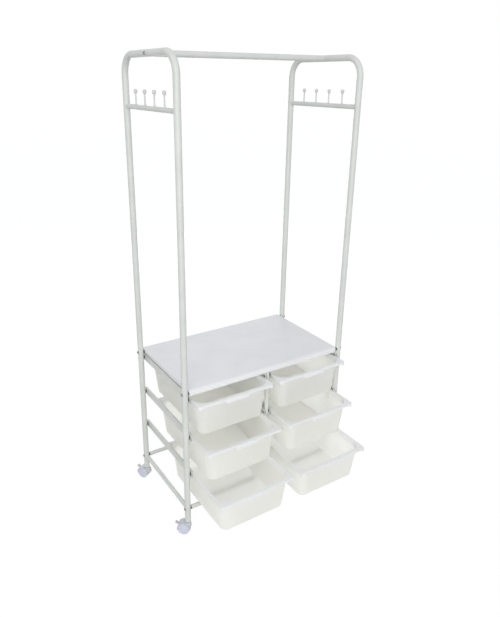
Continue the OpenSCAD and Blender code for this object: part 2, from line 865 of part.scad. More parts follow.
upper_hoop(-1);  // left_upper_hoop
upper_hoop(1);  // right_upper_hoop
hanging_rail();
coped_bar(-1, hook_rail_z);  // left_hook_rail
coped_bar(1, hook_rail_z);  // right_hook_rail
hook_pegs(-1);  // left_hook_pegs
hook_pegs(1);  // right_hook_pegs
lower_leg(-1, -1);  // left_front_leg
lower_leg(-1, 1);  // left_rear_leg
lower_leg(1, -1);  // right_front_leg
lower_leg(1, 1);  // right_rear_leg
coped_bar(-1, low_bar_z);  // left_side_bar
coped_bar(1, low_bar_z);  // right_side_bar
low_bar(-1);  // front_low_bar
low_bar(1);  // rear_low_bar
centre_post(-1);  // front_centre_post
centre_post(1);  // rear_centre_post
shelf_top();
outer_runner(-1, top_rim_z);  // left_outer_top_runner
outer_runner(-1, middle_rim_z);  // left_outer_middle_runner
outer_runner(-1, bottom_rim_z);  // left_outer_bottom_runner
inner_runner(-1, top_rim_z);  // left_inner_top_runner
inner_runner(-1, middle_rim_z);  // left_inner_middle_runner
inner_runner(-1, bottom_rim_z);  // left_inner_bottom_runner
inner_runner(1, top_rim_z);  // right_inner_top_runner
inner_runner(1, middle_rim_z);  // right_inner_middle_runner
inner_runner(1, bottom_rim_z);  // right_inner_bottom_runner
outer_runner(1, top_rim_z);  // right_outer_top_runner
outer_runner(1, middle_rim_z);  // right_outer_middle_runner
outer_runner(1, bottom_rim_z);  // right_outer_bottom_runner
drawer(-1, top_rim_z, open_top);  // left_top_drawer
drawer(-1, middle_rim_z, open_middle);  // left_middle_drawer
drawer(-1, bottom_rim_z, open_bottom);  // left_bottom_drawer
drawer(1, top_rim_z, open_top);  // right_top_drawer
drawer(1, middle_rim_z, open_middle);  // right_middle_drawer
drawer(1, bottom_rim_z, open_bottom);  // right_bottom_drawer
caster_hood(-1, -1);  // front_left_caster_hood
caster_hood(1, -1);  // front_right_caster_hood
caster_hood(-1, 1);  // rear_left_caster_hood
caster_hood(1, 1);  // rear_right_caster_hood
caster_wheels(-1, -1);  // front_left_caster_wheels
caster_wheels(1, -1);  // front_right_caster_wheels
caster_wheels(-1, 1);  // rear_left_caster_wheels
caster_wheels(1, 1);  // rear_right_caster_wheels
caster_axle(-1, -1);  // front_left_caster_axle
caster_axle(1, -1);  // front_right_caster_axle
caster_axle(-1, 1);  // rear_left_caster_axle
caster_axle(1, 1);  // rear_right_caster_axle
brake_pedal(-1, -1);  // front_left_brake_pedal
brake_pedal(1, -1);  // front_right_brake_pedal
brake_pedal(-1, 1);  // rear_left_brake_pedal
brake_pedal(1, 1);  // rear_right_brake_pedal
caster_stems();
caster_sockets();
frame_bolts();
rail_bolts();
runner_screws();
saddle_washers();
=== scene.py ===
# %% [markdown]
# # An open wardrobe on casters
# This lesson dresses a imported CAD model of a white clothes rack: steel tube, a moulded shelf,
# six plastic drawers and four braked casters. The CAD parts already have the right size, so we
# never move them. We give each part a finish, swap the parts whose edges need softening for
# rounded copies, and model the small things that a maker would see close up.

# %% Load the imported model
import json
import math
import bmesh
import bpy
from mathutils import Matrix, Vector


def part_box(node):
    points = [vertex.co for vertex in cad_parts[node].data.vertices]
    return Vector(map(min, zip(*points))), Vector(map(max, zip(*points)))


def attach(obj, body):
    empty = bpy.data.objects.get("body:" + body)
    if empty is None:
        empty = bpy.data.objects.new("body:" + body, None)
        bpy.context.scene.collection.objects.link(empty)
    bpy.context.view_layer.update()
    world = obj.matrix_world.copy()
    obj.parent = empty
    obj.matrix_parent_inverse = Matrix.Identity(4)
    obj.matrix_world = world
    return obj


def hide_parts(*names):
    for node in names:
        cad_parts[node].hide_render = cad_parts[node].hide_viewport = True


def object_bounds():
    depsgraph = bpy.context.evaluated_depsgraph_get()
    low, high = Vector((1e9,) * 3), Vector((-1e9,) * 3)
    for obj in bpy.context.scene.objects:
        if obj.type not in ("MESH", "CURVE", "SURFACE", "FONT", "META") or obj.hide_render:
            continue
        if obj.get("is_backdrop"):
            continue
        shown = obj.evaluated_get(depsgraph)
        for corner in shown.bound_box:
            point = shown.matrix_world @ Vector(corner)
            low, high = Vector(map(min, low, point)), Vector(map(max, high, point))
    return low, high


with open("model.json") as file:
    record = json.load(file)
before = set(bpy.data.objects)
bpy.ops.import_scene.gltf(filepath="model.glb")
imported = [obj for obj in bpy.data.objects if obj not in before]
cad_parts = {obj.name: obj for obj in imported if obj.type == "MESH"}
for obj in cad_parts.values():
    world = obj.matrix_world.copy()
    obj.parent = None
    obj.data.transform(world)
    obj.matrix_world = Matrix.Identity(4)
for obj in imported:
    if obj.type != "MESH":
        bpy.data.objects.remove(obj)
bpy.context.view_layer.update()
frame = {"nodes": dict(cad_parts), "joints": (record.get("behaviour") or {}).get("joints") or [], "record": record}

JOINTS = {joint["name"]: joint for joint in frame["joints"]}
SIDES = ("left", "right")
ENDS = ("front", "rear")
ROWS = ("top", "middle", "bottom")

# %% [markdown]
# ## The camera
# The photograph was taken from the front left, at about eye height, with a fairly wide lens.
# The camera's place, turn and focal length were worked out from the straight edges of the
# frame. A lens of 33 mm, with a sensor 36 mm high, has the same angle of view, and the small
# shifts say how far the middle of the lens was from the middle of the picture.

# %% Camera
PHOTO_SIZE = (500, 617)
SENSOR_MM = 36
FOCAL_PX = 566.48
LENS_MIDDLE_PX = (232.59, 296.95)
CAMERA_PLACE = Vector((-1.1028, -1.7011, 1.6035))
AZIMUTH, ELEVATION, ROLL = (math.radians(a) for a in (-32.05, 21.08, 0.455))


def place_camera():
    """Adds the camera, turned by azimuth, elevation and roll, in that order."""
    bpy.ops.object.camera_add(location=CAMERA_PLACE)
    camera = bpy.context.object
    camera.name = "photo_camera"
    turn = Matrix.Rotation(AZIMUTH, 4, "Z") @ Matrix.Rotation(math.pi / 2 - ELEVATION, 4, "X")
    camera.rotation_euler = (turn @ Matrix.Rotation(ROLL, 4, "Z")).to_euler()
    width, height = PHOTO_SIZE
    camera.data.sensor_width = SENSOR_MM
    camera.data.lens = SENSOR_MM * FOCAL_PX / height
    camera.data.shift_x = (width / 2 - LENS_MIDDLE_PX[0]) / height
    camera.data.shift_y = (LENS_MIDDLE_PX[1] - height / 2) / height
    bpy.context.scene.camera = camera
    return camera


camera = place_camera()
print("lens", round(camera.data.lens, 2), "mm, shifts", round(camera.data.shift_x, 4),
      round(camera.data.shift_y, 4))

# %% [markdown]
# ## Helpers for finishes
# Colours are written as sRGB hex, as a paint chart would, and Blender wants linear light, so
# one function turns them. Patterns are given by their real size in millimetres: a texture node
# reads metres here, so its scale is 1000 divided by that size. One function adds any node.

# %% Colour, scale and node helpers


def paint(code):
    """A hex colour as linear red, green, blue and alpha."""
    parts = [int(code[i:i + 2], 16) / 255 for i in (1, 3, 5)]
    return [c / 12.92 if c <= 0.04045 else ((c + 0.055) / 1.055) ** 2.4 for c in parts] + [1]


def per_mm(size):
    """The scale of a texture whose features are this many millimetres across."""
    return 1000 / size


def add(mat, kind, feeds=None, **settings):
    """Adds a node; feeds gives each named socket a value or another node's output."""
    made = mat.node_tree.nodes.new("ShaderNode" + kind)
    for key, value in settings.items():
        setattr(made, key, value)
    for key, value in (feeds or {}).items():
        if isinstance(value, bpy.types.NodeSocket):
            mat.node_tree.links.new(value, made.inputs[key])
        else:
            made.inputs[key].default_value = value
    return made


def start_finish(name, **skin):
    """A new material: returns it, its shader and the place on the object."""
    mat = bpy.data.materials.new(name)
    mat.use_nodes = True
    shader = mat.node_tree.nodes["Principled BSDF"]
    for key, value in skin.items():
        shader.inputs[key.replace("_", " ")].default_value = value
    return mat, shader, add(mat, "TexCoord").outputs["Object"]


def cloud(mat, place, mm, detail=2.0):
    """Soft noise whose patches are about this many millimetres across."""
    feeds = {"Vector": place, "Scale": per_mm(mm), "Detail": detail}
    return add(mat, "TexNoise", feeds).outputs[0]


def between(mat, factor, one, other):
    """Blends two hex colours by a factor from a pattern."""
    return add(mat, "Mix", {0: factor, 6: paint(one), 7: paint(other)}, data_type="RGBA").outputs[2]


NOISE_LOW, NOISE_HIGH = 0.3, 0.7  # most of a noise pattern's values lie between these


def spread(mat, value, low, high):
    """Stretches the middle of a pattern's values to run from low to high."""
    feeds = {"Value": value, "From Min": NOISE_LOW, "From Max": NOISE_HIGH,
             "To Min": low, "To Max": high}
    return add(mat, "MapRange", feeds).outputs[0]


def wire(mat, shader, colour, roughness, height, depth, strength):
    """Connects what was made to the shader; depth is the bump's height in millimetres."""
    link = mat.node_tree.links.new
    link(colour, shader.inputs["Base Color"])
    if roughness:
        link(roughness, shader.inputs["Roughness"])
    bump = add(mat, "Bump", {"Height": height, "Strength": strength, "Distance": depth / 1000})
    link(bump.outputs["Normal"], shader.inputs["Normal"])
    print("finish:", mat.name)
    return mat


print("a pattern 2 mm across has scale", per_mm(2))

# %% [markdown]
# ## Powder-coated steel
# The tubes are sprayed with dry paint that melts in an oven. It leaves a thick, even, satin
# skin with a faint orange-peel ripple, about 1 mm across on the real tube. That is too fine to
# show here, so it is drawn 2.5 mm across. The colour drifts very slightly along a tube, where
# the coat is thicker or thinner. The small pegs have a glossier coat: their balls show a bright
# middle in a darker ring.

# %% Powder coat


def powder_coat(name, light, dark, smooth, rough):
    """A sprayed coat that drifts between two colours and two roughnesses."""
    mat, shader, place = start_finish(name, Roughness=(smooth + rough) / 2, IOR=1.5)
    drift = cloud(mat, place, mm=70)
    colour = between(mat, spread(mat, drift, 0, 1), light, dark)
    roughness = spread(mat, cloud(mat, place, mm=24), smooth, rough)
    orange_peel = cloud(mat, place, mm=2.5, detail=1.0)
    return wire(mat, shader, colour, roughness, orange_peel, depth=0.03, strength=0.35)


POWDER_COAT = powder_coat("powder_coat_satin_white", "#DADCD6", "#D3D5CF", 0.31, 0.42)
PEG_COAT = powder_coat("powder_coat_gloss_white", "#D6D7D4", "#CFD0CD", 0.12, 0.2)

# %% [markdown]
# ## Moulded plastics
# The shelf is polypropylene from a mould with a fine grain, which keeps it matt and hides
# scratches: its pits are drawn 2.2 mm across, coarser than the real ones. The drawers come from
# a smoother mould, and their thin walls are milky: much of the light that falls on them goes
# through. A Translucent shader gives that, mixed with the usual one. The rims are thicker, so
# less goes through them, and a map of the height above the floor says where they are. Faint
# flow lines run front to rear, the way the melt filled the mould.

# %% Shelf and drawer plastic


def grained_polypropylene():
    """The shelf's matt plastic, with a fine grain."""
    mat, shader, place = start_finish("moulded_polypropylene_grained_grey", Roughness=0.5, IOR=1.49)
    drift = cloud(mat, place, mm=120, detail=3)
    colour = between(mat, spread(mat, drift, 0, 1), "#EAEAE9", "#E5E5E5")
    pits = add(mat, "TexVoronoi", {"Vector": place, "Scale": per_mm(2.2)}).outputs["Distance"]
    roughness = spread(mat, cloud(mat, place, mm=40), 0.44, 0.56)
    return wire(mat, shader, colour, roughness, pits, depth=0.05, strength=0.35)


WALL_MILKY = 0.74  # share of the light that goes through a wall or a floor
RIM_MILKY = 0.2  # and through a rim or a handle
RIM_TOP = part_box("left_bottom_drawer")[1].z
ROW_PITCH = (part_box("left_top_drawer")[1].z - RIM_TOP) / 2
RIM_DEPTH = 0.017  # down to the lower edge of the handle
RIM_MARGIN = 0.002  # each row's stretch of height starts this far above its rims
RIM_BLEND = 0.003  # the share changes over twice this height


def milky_share(mat, place):
    """How much light goes through: less in the thick rims than in the walls and floors."""
    height = add(mat, "SeparateXYZ", {0: place}).outputs["Z"]
    top = RIM_TOP + RIM_MARGIN
    # Wrapping the height makes every row of drawers look like the lowest one
    row = add(mat, "Math", {0: height, 1: top, 2: top - ROW_PITCH}, operation="WRAP").outputs[0]
    start = RIM_TOP - RIM_DEPTH
    feeds = {"Value": row, "From Min": start - RIM_BLEND, "From Max": start + RIM_BLEND,
             "To Min": WALL_MILKY, "To Max": RIM_MILKY}
    return add(mat, "MapRange", feeds).outputs[0]


FLOW_STRETCH = (1, 0.12, 0.5)  # below 1, the pattern is drawn out: most of all along Y


def smooth_polypropylene():
    """The drawers' milky plastic, with flow lines."""
    mat, shader, place = start_finish("moulded_polypropylene_milky_white", Roughness=0.34, IOR=1.49)
    along = add(mat, "Mapping", {"Vector": place, "Scale": FLOW_STRETCH}).outputs["Vector"]
    flow = cloud(mat, along, mm=14, detail=3)
    colour = between(mat, spread(mat, flow, 0, 1), "#FCFCFC", "#FAFAF9")
    warm = between(mat, spread(mat, flow, 0, 1), "#FDFDFB", "#FCFCF9")
    roughness = spread(mat, cloud(mat, place, mm=30), 0.28, 0.4)
    through = add(mat, "BsdfTranslucent", {"Color": warm}).outputs[0]
    parts = {0: milky_share(mat, place), 1: shader.outputs[0], 2: through}
    mixed = add(mat, "MixShader", parts).outputs[0]
    mat.node_tree.links.new(mixed, mat.node_tree.nodes["Material Output"].inputs[0])
    waviness = cloud(mat, place, mm=3, detail=1.0)
    return wire(mat, shader, colour, roughness, waviness, depth=0.02, strength=0.3)


SHELF_PLASTIC = grained_polypropylene()
DRAWER_PLASTIC = smooth_polypropylene()

# %% [markdown]
# ## Caster plastics
# The hoods and pedals are glossy white nylon and the wheels a nylon with a hint of lavender.
# A wheel is moulded in a turned mould, so it has fine rings round its axle, drawn here coarser
# than the real ones. The rings need a pattern centred on each wheel: subtracting the axle's
# place moves it to the middle of the pattern, and a Mapping node turns it to lie along the
# wheel's own axis. A second one flattens the pattern, so that balls become rings.

# %% Caster plastic


def glossy_nylon(name, light, dark):
    """The plastic of the hoods and pedals."""
    mat, shader, place = start_finish(name, Roughness=0.24, IOR=1.53)
    colour = between(mat, spread(mat, cloud(mat, place, mm=18), 0, 1), light, dark)
    roughness = spread(mat, cloud(mat, place, mm=8), 0.2, 0.32)
    waviness = cloud(mat, place, mm=2, detail=1.0)
    return wire(mat, shader, colour, roughness, waviness, depth=0.02, strength=0.25)


RING_SPACING = 2.4  # millimetres, about twice that of the real rings
WAVE_TURN = 20  # a wave texture at scale 1 turns this many radians per unit of distance


def ringed_nylon(caster, joint):
    """Wheel plastic with rings round this caster's axle."""
    mat, shader, place = start_finish("moulded_nylon_lavender_" + caster, Roughness=0.28, IOR=1.53)
    turn = Vector(joint["axis"]).to_track_quat("Z", "Y").inverted().to_euler()
    shifted = add(mat, "VectorMath", {0: place, 1: joint["pos_m"]}, operation="SUBTRACT").outputs[0]
    wheel = add(mat, "Mapping", {"Vector": shifted, "Rotation": turn}).outputs["Vector"]
    flat = add(mat, "Mapping", {"Vector": wheel, "Scale": (1, 1, 0)}).outputs["Vector"]
    scale = per_mm(RING_SPACING) * math.tau / WAVE_TURN
    rings = add(mat, "TexWave", {"Vector": flat, "Scale": scale, "Distortion": 0.4},
                wave_type="RINGS", rings_direction="SPHERICAL").outputs["Fac"]
    colour = between(mat, spread(mat, cloud(mat, place, mm=12), 0, 1), "#D6D7E4", "#CECFDD")
    roughness = spread(mat, cloud(mat, place, mm=6), 0.24, 0.36)
    return wire(mat, shader, colour, roughness, rings, depth=0.03, strength=0.3)


HOOD_PLASTIC = glossy_nylon("moulded_nylon_cool_white", "#D2D3D8", "#CBCCD2")
WHEEL_PLASTIC = {}
for end in ENDS:
    for side in SIDES:
        caster = end + "_" + side
        WHEEL_PLASTIC[caster] = ringed_nylon(caster, JOINTS[caster + "_wheel_spin"])

# %% [markdown]
# ## Small dark and bright parts
# The leg sockets are dark grey polyethylene and the washers a lighter, dark grey rubber, both
# matt and a little dusty. The washers' dark grey is also painted shade for the narrow gaps
# between the legs and the runners, where they sit. Bolts, screws, stems and axles are
# zinc-plated steel: a grey metal with small cloudy crystals, called spangle, drawn 2 mm across.

# %% Rubber, socket plastic and zinc


def dark_mould(name, light, dark, roughness):
    """A matt moulding with a fine uneven skin."""
    mat, shader, place = start_finish(name, Roughness=roughness, IOR=1.5)
    dust = cloud(mat, place, mm=5, detail=3)
    colour = between(mat, spread(mat, dust, 0, 1), light, dark)
    skin = cloud(mat, place, mm=1.2)
    return wire(mat, shader, colour, None, skin, depth=0.03, strength=0.4)


def zinc_plate():
    """The metal of the fasteners, stems and axles."""
    mat, shader, place = start_finish("zinc_plated_steel", Roughness=0.35, Metallic=1.0)
    spangle = add(mat, "TexVoronoi", {"Vector": place, "Scale": per_mm(2)}).outputs["Color"]
    grey = add(mat, "RGBToBW", {0: spangle}).outputs[0]
    colour = between(mat, spread(mat, grey, 0, 1), "#A9AAA8", "#8E908F")
    roughness = spread(mat, cloud(mat, place, mm=1.5, detail=3), 0.28, 0.46)
    grain = cloud(mat, place, mm=1)
    return wire(mat, shader, colour, roughness, grain, depth=0.01, strength=0.4)


SOCKET_PLASTIC = dark_mould("moulded_polyethylene_dark_grey", "#4A4A4D", "#3C3C3F", 0.5)
# The washers' dark grey is partly their rubber and partly painted shade for the gaps between legs and runners
WASHER_RUBBER_AND_GAP_SHADE = dark_mould("moulded_rubber_dark_grey_and_gap_shade", "#5E5E61", "#505053", 0.7)
ZINC = zinc_plate()

# %% [markdown]
# ## Finishes on the CAD parts
# Every CAD part gets its finish here, also the ones that a rounded copy will stand for, since
# a copy takes its part's material along.

# %% Give each CAD part its finish


def finish_for(name):
    """The material for a CAD part, from what its name says it is."""
    for caster, plastic in WHEEL_PLASTIC.items():
        if name == caster + "_caster_wheels":
            return plastic
    if name.endswith(("_hood", "_pedal")):
        return HOOD_PLASTIC
    if name.endswith(("_axle", "_bolts", "_screws", "_stems")):
        return ZINC
    if name.endswith("_drawer"):
        return DRAWER_PLASTIC
    if name.endswith("_hook_pegs"):
        return PEG_COAT
    special = {"shelf_top": SHELF_PLASTIC, "caster_sockets": SOCKET_PLASTIC,
               "saddle_washers": WASHER_RUBBER_AND_GAP_SHADE}
    return special.get(name, POWDER_COAT)


for name, part in frame["nodes"].items():
    part.data.materials.clear()
    part.data.materials.append(finish_for(name))
print("finished", len(frame["nodes"]), "parts")

# %% [markdown]
# ## Helpers for modelling
# Blender's operators act on what is selected, and loading the model leaves every part
# selected, so each step starts by selecting only its own piece. A copy of a CAD part starts as
# loose triangles: merging its doubles and dissolving its flat faces gives clean faces again. A
# bevel then rounds the sharp edges, because a real edge catches a thin line of light.

# %% Modelling helpers
SAME_POINT = 0.00001
SAME_PLANE = math.radians(0.4)
ROUND_ABOVE = math.radians(30)
SMOOTH_BELOW = math.radians(35)
SQUARELY = 0.9  # a face looks along an axis where that part of its normal is larger than this
BODY_OF = {part: body for body, parts in frame["record"]["behaviour"]["bodies"].items()
           for part in parts}


def select_only(*pieces):
    """Selects these pieces, the first of them active."""
    bpy.ops.object.select_all(action="DESELECT")
    for piece in pieces:
        piece.select_set(True)
    bpy.context.view_layer.objects.active = pieces[0]


def edit(piece):
    """Opens one piece in edit mode."""
    select_only(piece)
    bpy.ops.object.mode_set(mode="EDIT")


def end_edit():
    """Goes back to object mode."""
    bpy.ops.object.mode_set(mode="OBJECT")


def pick_faces(piece, wanted):
    """In edit mode, selects the faces for which wanted(middle, normal) is true."""
    bpy.ops.mesh.select_all(action="DESELECT")
    bpy.ops.mesh.select_mode(type="FACE")
    shape = bmesh.from_edit_mesh(piece.data)
    for face in shape.faces:
        face.select_set(wanted(face.calc_center_median(), face.normal))
    bmesh.update_edit_mesh(piece.data)


def pick_points(piece, wanted):
    """In edit mode, selects the points for which wanted(place) is true."""
    bpy.ops.mesh.select_all(action="DESELECT")
    bpy.ops.mesh.select_mode(type="VERT")
    shape = bmesh.from_edit_mesh(piece.data)
    for point in shape.verts:
        point.select_set(wanted(point.co))
    shape.select_flush(True)
    bmesh.update_edit_mesh(piece.data)


def apply_all(piece):
    """Applies the piece's modifiers, first to last."""
    select_only(piece)
    for modifier in list(piece.modifiers):
        bpy.ops.object.modifier_apply(modifier=modifier.name)


def soften(piece, radius, segments=2):
    """Rounds a piece's sharp edges, by a radius in millimetres, and shades the rest smooth."""
    bevel = piece.modifiers.new("rounding", "BEVEL")
    bevel.width = radius / 1000
    bevel.segments = segments
    bevel.limit_method = "ANGLE"
    bevel.angle_limit = ROUND_ABOVE
    apply_all(piece)
    bpy.ops.object.shade_smooth_by_angle(angle=SMOOTH_BELOW)
    piece.modifiers.new("even_shading", "WEIGHTED_NORMAL").keep_sharp = True
    apply_all(piece)


def copy_of(part_name, piece_name):
    """A CAD part's mesh as a piece of its own, merged into one clean skin."""
    piece = bpy.data.objects.new(piece_name, frame["nodes"][part_name].data.copy())
    bpy.context.scene.collection.objects.link(piece)
    select_only(piece)
    bpy.ops.mesh.customdata_custom_splitnormals_clear()
    edit(piece)
    bpy.ops.mesh.select_all(action="SELECT")
    bpy.ops.mesh.remove_doubles(threshold=SAME_POINT)
    bpy.ops.mesh.dissolve_limited(angle_limit=SAME_PLANE)
    end_edit()
    return piece


def own_copy(piece, name, move):
    """Another copy of a modelled piece with its own mesh, moved by a matrix."""
    twin = bpy.data.objects.new(name, piece.data.copy())
    twin.data.transform(move)
    bpy.context.scene.collection.objects.link(twin)
    return twin


def joined(name, pieces):
    """Joins pieces into one, its place in its mesh."""
    select_only(*pieces)
    bpy.ops.object.join()
    piece = bpy.context.object
    bpy.ops.object.transform_apply(location=True, rotation=True, scale=True)
    piece.name = name
    return piece


def dress(piece, finish, slot, body, *parts):
    """Gives a piece its finish and its body, and hides the CAD parts it stands for; slot is not used."""
    piece.data.materials.clear()
    piece.data.materials.append(finish)
    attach(piece, body)
    if parts:
        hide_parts(*parts)
    faces = sum(len(p.vertices) - 2 for p in piece.data.polygons)
    print("piece:", piece.name, "on", body, "with", faces, "triangles")


# %% [markdown]
# ## Drawers, shelf and runners with softened edges
# A moulded edge is never sharp, or the plastic would stick in its mould: the drawers get
# edges rounded by 0.8 mm and the shelf by 0.7 mm. The runners are pressed from sheet steel and
# then painted, which rounds them by 0.5 mm. Under each drawer is the gate mark: the small disc
# where the plastic was let into the mould.

# %% Drawers
GATE_MARK_WIDTH = 0.009
GATE_MARK_HEIGHT = 0.0009


def gate_mark(low, high):
    """A small raised disc in the middle of a drawer's underside, hollowed in its middle."""
    middle = (low + high) / 2
    bpy.ops.mesh.primitive_cylinder_add(vertices=32, radius=GATE_MARK_WIDTH / 2,
                                        depth=2 * GATE_MARK_HEIGHT,
                                        location=(middle.x, middle.y, low.z))
    mark = bpy.context.object
    edit(mark)
    pick_faces(mark, lambda place, normal: normal.z < -SQUARELY)
    bpy.ops.mesh.inset(thickness=GATE_MARK_WIDTH / 4)
    bpy.ops.transform.translate(value=(0, 0, GATE_MARK_HEIGHT / 2))
    end_edit()
    soften(mark, 0.25)
    return mark


for side in SIDES:
    for row in ROWS:
        part = side + "_" + row + "_drawer"
        drawer = copy_of(part, part + "_shell")
        soften(drawer, 0.8, 3)
        drawer = joined(part + "_moulding", [drawer, gate_mark(*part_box(part))])
        dress(drawer, DRAWER_PLASTIC, "drawer_plastic", BODY_OF[part], part)

# %% Shelf and runners
shelf = copy_of("shelf_top", "shelf_moulding")
soften(shelf, 0.7)
dress(shelf, SHELF_PLASTIC, "shelf_plastic", "frame", "shelf_top")

for part in sorted(frame["nodes"]):
    if part.endswith("_runner"):
        runner = copy_of(part, part + "_pressing")
        soften(runner, 0.5)
        dress(runner, POWDER_COAT, "frame_paint", "frame", part)

# %% [markdown]
# ## Casters
# A twin-wheel caster has a hood over two wheels that share an axle. We model one wheel lying
# on its side: a cylinder whose outer face is inset and pushed in for the dish, inset again and
# pulled out for the hub. A second wheel is the first one turned over, and the pair is copied
# to each caster, turned so that its axle lies along the caster's own joint.

# %% Wheels
WHEEL_WIDTH = 0.0115
WHEEL_GAP = 0.013
# How far each ring of the outer face is inset, and then pulled out or pushed in
WHEEL_RINGS = (
    (0.0034, 0),  # the flat edge
    (0.0008, -0.0009),  # down into the dish
    (0.0072, 0.0002),  # the dish, rising a little
    (0.0007, 0.0007),  # up to the hub
    (0.0046, 0),  # the hub
    (0.0006, -0.0005),  # a dimple in its middle
)


def turned_wheel(radius):
    """One wheel round the Z axis, with its inner face half the gap above zero."""
    bpy.ops.mesh.primitive_cylinder_add(vertices=72, radius=radius, depth=WHEEL_WIDTH,
                                        location=(0, 0, (WHEEL_GAP + WHEEL_WIDTH) / 2))
    wheel = bpy.context.object
    bpy.ops.object.transform_apply(location=True)
    edit(wheel)
    pick_faces(wheel, lambda place, normal: normal.z > SQUARELY)
    for inset, rise in WHEEL_RINGS:
        bpy.ops.mesh.inset(thickness=inset)
        bpy.ops.transform.translate(value=(0, 0, rise))
    end_edit()
    soften(wheel, 0.9, 3)
    return wheel


low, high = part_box("front_left_caster_wheels")
first_wheel = turned_wheel((high.z - low.z) / 2)
other_wheel = own_copy(first_wheel, "other_wheel", Matrix.Rotation(math.pi, 4, "X"))
wheel_pair = joined("wheel_pair", [first_wheel, other_wheel])

for end in ENDS:
    for side in SIDES:
        caster = end + "_" + side
        joint = JOINTS[caster + "_wheel_spin"]
        turn = Vector(joint["axis"]).to_track_quat("Z", "Y").to_matrix().to_4x4()
        wheels = own_copy(wheel_pair, caster + "_wheels_turned",
                          Matrix.Translation(joint["pos_m"]) @ turn)
        dress(wheels, WHEEL_PLASTIC[caster], "caster_plastic", caster + "_caster_wheel_pair",
              caster + "_caster_wheels")
bpy.data.objects.remove(wheel_pair)

# %% [markdown]
# ## Hoods and pedals
# The hood is softened like the other mouldings. The brake pedal also gets three ribs across
# its pad, so that a shoe doesn't slip off: each rib is a bar with rounded edges, laid on the
# pad along the pedal's own slope.

# %% Hoods and pedals
PEDAL_SLOPE = math.radians(26)
PEDAL_PAD_MIDDLE = 0.0208
PEDAL_PAD_THICKNESS = 0.003
RIB_SIZE = Vector((0.0011, 0.0098, 0.0012))
RIB_PITCH = 0.0031
RIB_LIFT = 0.0001


def pedal_ribs(joint):
    """Three ribs on one pedal's pad, from the place and axis of its joint."""
    across = Vector(joint["axis"])
    level = Vector((across.y, -across.x, 0))
    along = level * math.cos(PEDAL_SLOPE) + Vector((0, 0, math.sin(PEDAL_SLOPE)))
    up = along.cross(across)
    turn = Matrix((along, across, up)).transposed().to_4x4()
    ribs = []
    for step in (-1, 0, 1):
        middle = Vector(joint["pos_m"]) + along * (PEDAL_PAD_MIDDLE + step * RIB_PITCH)
        middle += up * (PEDAL_PAD_THICKNESS / 2 + RIB_LIFT)
        bpy.ops.mesh.primitive_cube_add(size=1)
        rib = bpy.context.object
        rib.scale = RIB_SIZE
        bpy.ops.object.transform_apply(scale=True)
        soften(rib, 0.4)
        rib.data.transform(Matrix.Translation(middle) @ turn)
        ribs.append(rib)
    return ribs


for end in ENDS:
    for side in SIDES:
        caster = end + "_" + side
        part = caster + "_caster_hood"
        hood = copy_of(part, part + "_moulding")
        soften(hood, 0.5)
        dress(hood, HOOD_PLASTIC, "caster_plastic", BODY_OF[part], part)
        part = caster + "_brake_pedal"
        pedal = copy_of(part, part + "_blade")
        soften(pedal, 0.4)
        pedal = joined(part + "_ribbed", [pedal] + pedal_ribs(JOINTS[caster + "_brake_press"]))
        dress(pedal, HOOD_PLASTIC, "caster_plastic", BODY_OF[part], part)

# %% [markdown]
# ## Ball pegs
# The pegs are turned from rod: a ball drawn down to a point, a thin stem and a wider foot. We
# start from a ball, delete its lower cap, and extrude the open ring downwards, scaling it at
# each step. One peg is modelled and the others are copies.

# %% Pegs
PEG_BALL = 0.013
PEG_ROD = 0.005
PEG_COUNT = 4
# The ball's rings lie 11.25 degrees apart. The third below its middle, 0.556 radii down, is
# left open: all below 0.64 radii is deleted, and then that ring is all that lies below 0.5
OPEN_RING_ANGLE = math.radians(33.75)
OPEN_RING_DROP = 0.556
CAP_DROP = 0.64
PICK_DROP = 0.5


def ball_peg(foot_z, ball_z):
    """One peg standing on the Z axis, from its welded foot to its ball."""
    radius = PEG_BALL / 2
    rod = PEG_ROD / 2
    # Half the width and the height of each ring below the ball
    profile = (
        (1.5 * rod, ball_z - 1.15 * radius),  # the ball, drawn down
        (rod, ball_z - 1.5 * radius),  # the top of the stem
        (rod, foot_z + 0.004),  # and its bottom
        (1.25 * rod, foot_z + 0.0022),  # the foot flares out
        (1.64 * rod, foot_z + 0.0004),
        (1.64 * rod, foot_z - 0.003),  # and ends inside the rail
    )
    bpy.ops.mesh.primitive_uv_sphere_add(segments=32, ring_count=16, radius=radius,
                                         location=(0, 0, ball_z))
    peg = bpy.context.object
    bpy.ops.object.transform_apply(location=True)
    edit(peg)
    pick_points(peg, lambda place: place.z < ball_z - CAP_DROP * radius)
    bpy.ops.mesh.delete(type="VERT")
    pick_points(peg, lambda place: place.z < ball_z - PICK_DROP * radius)
    width, height = radius * math.cos(OPEN_RING_ANGLE), ball_z - OPEN_RING_DROP * radius
    for new_width, new_height in profile:
        bpy.ops.mesh.extrude_region_move(
            TRANSFORM_OT_translate={"value": (0, 0, new_height - height)})
        factor = new_width / width
        bpy.ops.transform.resize(value=(factor, factor, 1), center_override=(0, 0, new_height))
        width, height = new_width, new_height
    bpy.ops.mesh.edge_face_add()
    bpy.ops.mesh.select_all(action="SELECT")
    bpy.ops.mesh.normals_make_consistent(inside=False)
    end_edit()
    soften(peg, 0.3)
    return peg


for side in SIDES:
    part = side + "_hook_pegs"
    low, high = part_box(part)
    rail_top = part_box(side + "_hook_rail")[1].z
    peg = ball_peg(rail_top, high.z - PEG_BALL / 2)
    first, last = low.y + PEG_BALL / 2, high.y - PEG_BALL / 2
    row = []
    for i in range(PEG_COUNT):
        spot = ((low.x + high.x) / 2, first + (last - first) * i / (PEG_COUNT - 1), 0)
        row.append(own_copy(peg, "peg_copy", Matrix.Translation(spot)))
    bpy.data.objects.remove(peg)
    dress(joined(part + "_turned", row), PEG_COAT, "frame_paint", "frame", part)

